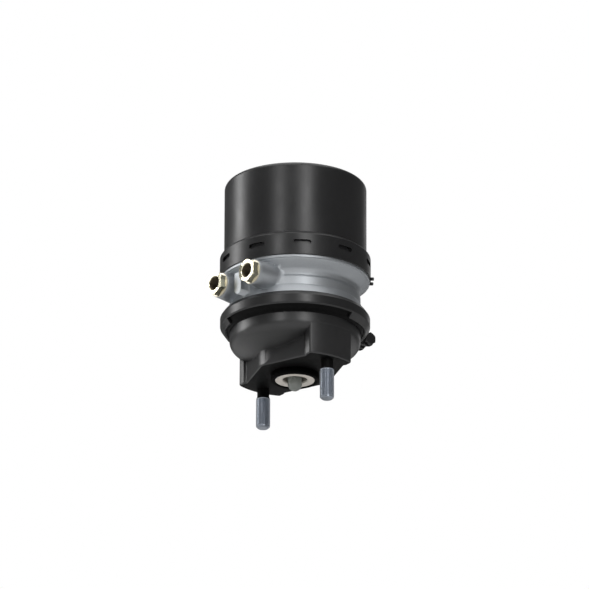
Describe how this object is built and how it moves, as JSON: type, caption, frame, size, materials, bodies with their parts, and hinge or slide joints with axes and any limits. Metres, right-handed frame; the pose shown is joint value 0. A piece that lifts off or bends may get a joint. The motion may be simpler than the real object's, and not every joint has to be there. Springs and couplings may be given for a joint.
{
  "type": "spring brake actuator",
  "caption": "Air spring-brake actuator for a disc brake: black canister on an aluminium flange with side ports, clamped to a housing with mounting studs and a push rod.",
  "frame": {"origin": "centre of the mounting face, on the push rod's axis, midway between the mounting studs", "axes": "+Z along the push rod axis into the canister, +X through a mounting stud"},
  "size_m": [0.17, 0.2047, 0.2979],
  "materials": {
    "housing_paint": "satin black paint over cast iron",
    "canister_paint": "satin black powder coat on drawn steel",
    "clamp_paint": "satin black coated steel",
    "cast_aluminium": "bare die-cast aluminium, fine grain",
    "zinc_steel": "bright zinc-plated steel",
    "steel": "plain oiled steel",
    "spring_steel": "phosphated spring steel",
    "port_plating": "pale yellow-chromated insert",
    "rubber": "matt black rubber",
    "pale_plastic": "pale beige-grey moulded plastic",
    "dark_plastic": "dark moulded guide band",
    "rod_coating": "grey phosphated steel"
  },
  "bodies": {
    "root": {"service_housing": "housing_paint", "drain_plugs": "rubber", "mounting_studs": "zinc_steel", "mouth_seal": "rubber", "guide_ring": "pale_plastic", "clamp_ring": "clamp_paint", "clamp_bolt": "clamp_paint", "clamp_nut": "clamp_paint", "clamp_washers": "clamp_paint", "flange_housing": "cast_aluminium", "service_port_insert": "port_plating", "spring_port_insert": "port_plating", "spring_canister": "canister_paint", "locking_collar": "canister_paint", "lock_wire": "clamp_paint", "housing_seal": "rubber", "tube_guide_band": "dark_plastic", "tube_seal": "rubber", "power_spring": "spring_steel", "return_spring": "spring_steel", "diaphragm": "rubber", "rod_boot": "rubber", "top_bush": "steel", "thrust_washer": "steel"},
    "piston": {"spring_piston": "cast_aluminium", "piston_tube": "steel", "piston_foot": "steel", "piston_seal": "rubber", "piston_guide_band": "dark_plastic", "piston_clip": "spring_steel"},
    "rod": {"push_rod": "rod_coating", "push_plate": "steel"},
    "nut": {"release_nut": "steel"},
    "screw": {"release_screw": "zinc_steel", "screw_clip": "spring_steel"}
  },
  "joints": [
    {"name": "parking_stroke", "type": "slide", "parent": "root", "child": "piston", "axis": [0, 0, -1], "range_m": [0, 0.057], "deforming": ["power_spring"]},
    {"name": "push_rod_stroke", "type": "slide", "parent": "root", "child": "rod", "axis": [0, 0, -1], "range_m": [0, 0.057], "stiffness_N_per_m": 900, "springref_m": -0.1, "deforming": ["return_spring", "rod_boot", "diaphragm"]},
    {"name": "release_nut_travel", "type": "slide", "parent": "root", "child": "nut", "axis": [0, 0, -1], "range_m": [0, 0.057]},
    {"name": "release_screw_turn", "type": "hinge", "parent": "root", "child": "screw", "pos_m": [0, 0, 0.2], "axis": [0, 0, 1], "range_deg": [0, 6840]}
  ],
  "couplings": [
    {"joint": "push_rod_stroke", "follows": "parking_stroke", "ratio": 1},
    {"joint": "release_nut_travel", "follows": "parking_stroke", "ratio": 1},
    {"joint": "release_screw_turn", "follows": "parking_stroke", "rad_per_m": 2094.4}
  ]
}
